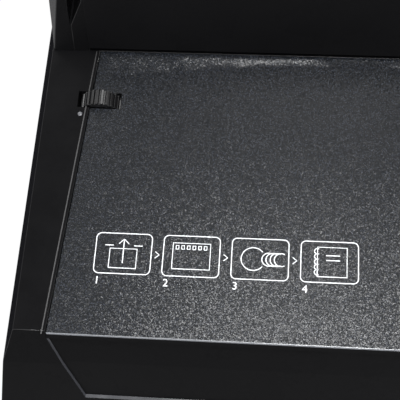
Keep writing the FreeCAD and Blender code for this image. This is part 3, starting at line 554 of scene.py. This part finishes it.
# Punch bar and pins: a hardened steel bar with its row of square pins, which slides in the frame.
# Two springs coiled from steel wire stand on the guide and push it up again.
SPRING_RADIUS = 4.4 * MM
SPRING_WIRE = 0.6 * MM
SPRING_TURNS = 6
STEPS_A_TURN = 20
dress(frame_steel, "punch_bar", "punch_pins")
spring_low, spring_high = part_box("return_springs")
spring_steel = drawn_steel("music_wire", "#9b9c9f", 0.25, 0.3, 2)
bm = bmesh.new()
for x in (spring_low.x + SPRING_RADIUS + SPRING_WIRE, spring_high.x - SPRING_RADIUS - SPRING_WIRE):
    ring = bmesh.ops.create_circle(bm, segments=8, radius=SPRING_WIRE, cap_ends=True)
    middle = Vector((x, (spring_low.y + spring_high.y) / 2, spring_low.z + SPRING_WIRE))
    upright = Matrix.Rotation(math.pi / 2, 3, "X")
    bmesh.ops.rotate(bm, verts=ring["verts"], matrix=upright, cent=(0, 0, 0))
    bmesh.ops.translate(bm, verts=ring["verts"], vec=middle + Vector((SPRING_RADIUS, 0, 0)))
    rise = spring_high.z - spring_low.z - 2 * SPRING_WIRE
    steps = SPRING_TURNS * STEPS_A_TURN
    wire = list({f for v in ring["verts"] for f in v.link_faces})
    bmesh.ops.spin(bm, geom=wire, cent=middle, axis=(0, 0, 1), dvec=(0, 0, rise / steps),
                   angle=SPRING_TURNS * math.tau, steps=steps, use_merge=False)
bmesh.ops.recalc_face_normals(bm, faces=bm.faces)
springs = new_piece("coil_springs", bm, spring_steel, "machine")
shade(springs, math.radians(40))
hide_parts("return_springs")
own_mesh(springs)

# Handle shaft with its cams and comb gears: turned and milled steel, lightly oiled.
# The shaft lies in bores of the two side plates, and the cams and gears sit fast on it.
shaft_steel = drawn_steel("turned_shaft_steel", "#a3a5a8", 0.28, 0.4, 1)
dress(shaft_steel, "handle_shaft", "punch_cam_left", "punch_cam_right", "comb_gear_left", "comb_gear_right")

# Head cover and end caps: black ABS mouldings with a plain glossy fascia, set on the base over the frame.
# Each cap carries a stepped guard beside the handle arm, with one polished facet at its front corner,
# which is painted paler as a painted highlight.
soft_moulding("head_cover", 2.2 * MM, gloss_abs, reach=30 * MM, segments=5,
              edge_finish=corner_painted_highlight_abs)


def on_guard_facet(face):
    """The slanting facet on the outer front corner of each arm guard, which gets a painted highlight."""
    normal = face.normal
    return normal.y < -0.5 and abs(normal.x) > 0.4 and normal.z > 0.3


for word in ("left", "right"):
    soft_moulding("head_cap_" + word, 0.7 * MM, gloss_abs, reach=5 * MM,
                  zones=((on_guard_facet, polished_painted_highlight_abs),), edge_finish=corner_painted_highlight_abs)

# Comb opener: nickel-plated steel, with stamped prongs on a slotted plate and a strip of hooks below.
# Four pan-head screws hold the plate on the head, and the hooks slide forward in its slots.
comb_nickel = drawn_steel("nickel_plated_steel", "#c4c2bb", 0.2, 0.3, 14)
dress(comb_nickel, "comb_plate", "comb_rake")
screw_heads("comb_screw_heads", "comb_screws", 1, screw_steel)

# Bail handle: steel arms and a cross bar in black enamel, with plastic caps over the pivots.
# The grip is a ribbed rubber sleeve, pushed over the bar.
arm_enamel = moulded("black_enamel", "#0a0a0c", "#0f0f11", 0.3, 1.6, 0.03, 0.3)
for word in ("left", "right"):
    soft_moulding("handle_arm_" + word, 1.8 * MM, arm_enamel, reach=0.5 * MM)
dress(arm_enamel, "handle_bar")
soft_moulding("pivot_caps", 0.8 * MM, gloss_abs, reach=0.2 * MM)
GRIP_RIBS = 30
CUTS_A_RIB = 4
GRIP_RIB_DEEP = 0.8 * MM
grip_low, grip_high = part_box("handle_grip")
grip_middle = (grip_low + grip_high) / 2
grip_radius = (grip_high.z - grip_low.z) / 2
bm = bmesh.new()
bmesh.ops.create_cone(bm, cap_ends=True, segments=48, radius1=grip_radius, radius2=grip_radius,
                      depth=grip_high.x - grip_low.x)
long_edges = [e for e in bm.edges if abs(e.verts[0].co.z - e.verts[1].co.z) > 1 * MM]
bmesh.ops.subdivide_edges(bm, edges=long_edges, cuts=GRIP_RIBS * CUTS_A_RIB + 1, use_grid_fill=False)
for v in bm.verts:
    share = (v.co.z / (grip_high.x - grip_low.x) + 0.5) * GRIP_RIBS
    wave = 0.5 - 0.5 * math.cos(share * math.tau)
    reach = grip_radius - GRIP_RIB_DEEP * (1 - wave)
    flat = Vector((v.co.x, v.co.y))
    if flat.length > grip_radius / 2:
        flat = flat.normalized() * reach
        v.co.x, v.co.y = flat
lying = Matrix.Rotation(math.pi / 2, 3, "Y")
bmesh.ops.rotate(bm, verts=bm.verts, matrix=lying, cent=(0, 0, 0))
bmesh.ops.translate(bm, verts=bm.verts, vec=grip_middle)
grip = new_piece("ribbed_grip", bm, rubber, "handle")
shade(grip, math.radians(50))
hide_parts("handle_grip")

# Margin guide: a fluted acetal wheel on a steel pin, which lies in a bent steel bracket below the bed.
# Its pinion shifts a plastic stop for the sheet's edge.
wheel_acetal = moulded("black_acetal", "#09090a", "#0f0f10", 0.2, 0.7, 0.02)
dress(wheel_acetal, "paper_stop")
soft_moulding("guide_wheel", 0.2 * MM, wheel_acetal, reach=0.5 * MM, segments=2)
dress(shaft_steel, "wheel_axle")
dress(plate_steel, "wheel_bracket")

# Chip drawer: a shallow tray, moulded in satin black ABS.
# It catches the punched chips below the die and slides out at the back.
satin_abs = moulded("satin_black_abs", "#0f0f11", "#151517", 0.45, 0.8, 0.05, 0.2)
soft_moulding("chip_drawer", 0.5 * MM, satin_abs, reach=6 * MM)

# Studio: a pale paper floor that reads white to the camera but keeps a soft shadow, under broad softboxes.
# A narrow lamp above the bed makes its pebble glint, most of all towards the front.
FLOOR_HALF = 4.0
FLOOR_GAP = 0.2 * MM
FLOOR_WHITE_SHARE = 0.97
AIR_DIM = 0.12
AIR_WHITE = 1.0


def seen_white(tree):
    """1 for rays from the camera, from mirrors and through clear pieces, which meet a white studio."""
    path = tree.nodes.new("ShaderNodeLightPath")
    mirror = add(tree, "ShaderNodeMath", {"operation": "MAXIMUM"}, {
        0: path.outputs["Is Glossy Ray"], 1: path.outputs["Is Transmission Ray"]})
    seen = add(tree, "ShaderNodeMath", {"operation": "MAXIMUM"}, {
        0: path.outputs["Is Camera Ray"], 1: mirror.outputs["Value"]})
    return seen.outputs["Value"]


bm = bmesh.new()
bmesh.ops.create_grid(bm, x_segments=1, y_segments=1, size=FLOOR_HALF)
bmesh.ops.translate(bm, verts=bm.verts, vec=(0, 0, -FLOOR_GAP))
floor_mesh = bpy.data.meshes.new("studio_floor")
bm.to_mesh(floor_mesh)
bm.free()
floor = bpy.data.objects.new("studio_floor", floor_mesh)
bpy.context.scene.collection.objects.link(floor)
paper_white, tree, shader, _ = start_finish("studio_paper", Roughness=0.9)
shader.inputs["Base Color"].default_value = linear("#f4f4f4")
part = add(tree, "ShaderNodeMath", {"operation": "MULTIPLY"}, {0: seen_white(tree), 1: FLOOR_WHITE_SHARE})
glow = add(tree, "ShaderNodeEmission", inputs={"Color": (1, 1, 1, 1), "Strength": 1.0})
both = add(tree, "ShaderNodeMixShader", inputs={
    0: part.outputs["Value"], 1: shader.outputs["BSDF"], 2: glow.outputs["Emission"]})
tree.links.new(both.outputs["Shader"], tree.nodes["Material Output"].inputs["Surface"])
floor_mesh.materials.append(paper_white)

world = bpy.data.worlds.new("studio_air")
world.use_nodes = True
bpy.context.scene.world = world
tree = world.node_tree
sky = tree.nodes["Background"]
strength = add(tree, "ShaderNodeMapRange", inputs={
    "Value": seen_white(tree), "To Min": AIR_DIM, "To Max": AIR_WHITE})
tree.links.new(strength.outputs["Result"], sky.inputs["Strength"])
sky.inputs["Color"].default_value = (1, 1, 1, 1)

# Lamps: area lights stand for the softboxes of the studio.
# Each row gives a name, the place, the aim, the width and the depth in metres, and the power in watts.
LAMPS = (
    ("overhead_softbox", (-0.25, -0.75, 1.6), (0, 0, 0.05), 1.0, 1.0, 17),
    ("left_softbox", (-1.6, -0.4, 1.0), (0, 0, 0.05), 0.8, 0.8, 5),
    ("right_softbox", (1.5, -0.9, 0.7), (0, 0, 0.05), 0.8, 0.8, 8),
    ("front_strip", (0.7, -1.9, 0.55), (0, -0.1, 0.05), 0.6, 0.2, 6),
    ("bed_glint", (0.04, -0.12, 1.05), (-0.05, -0.15, 0.05), 0.5, 0.1, 15),
    ("back_softbox", (-0.9, 1.9, 1.3), (0, 0.1, 0.08), 1.0, 1.0, 34),
    ("rear_fill", (0.04, 0.6, 1.05), (-0.05, 0.0, 0.05), 0.5, 0.3, 2),
)
for name, place, aim, wide, deep, power in LAMPS:
    lamp = bpy.data.lights.new(name, "AREA")
    lamp.shape = "RECTANGLE"
    lamp.size = wide
    lamp.size_y = deep
    lamp.energy = power
    holder = bpy.data.objects.new(name, lamp)
    holder.location = place
    holder.rotation_euler = (Vector(aim) - Vector(place)).to_track_quat("-Z", "Y").to_euler()
    bpy.context.scene.collection.objects.link(holder)

# Camera: stands close in front of the machine, a little left of its middle and turned slightly, looking
# down on the left half of the bed. It needs no lens shift.
FRAME_PX = 400
SENSOR_MM = 36
FOCAL_PX = 969.0
CAMERA_PLACE = (-51.4 * MM, -288.7 * MM, 582.2 * MM)
CAMERA_AZIMUTH = math.radians(-10.82)
CAMERA_ELEVATION = math.radians(66.47)
CAMERA_ROLL = math.radians(-7.75)
lens = bpy.data.cameras.new("photo_camera")
lens.sensor_width = SENSOR_MM
lens.sensor_fit = "HORIZONTAL"
lens.lens = FOCAL_PX * SENSOR_MM / FRAME_PX
lens.clip_start = 0.01
camera = bpy.data.objects.new("photo_camera", lens)
heading = Matrix.Rotation(-CAMERA_AZIMUTH, 4, "Z")
pitch = Matrix.Rotation(math.pi / 2 - CAMERA_ELEVATION, 4, "X")
roll = Matrix.Rotation(CAMERA_ROLL, 4, "Z")
camera.matrix_world = Matrix.Translation(CAMERA_PLACE) @ heading @ pitch @ roll
bpy.context.scene.collection.objects.link(camera)
bpy.context.scene.camera = camera
bpy.context.scene.view_settings.view_transform = "Standard"
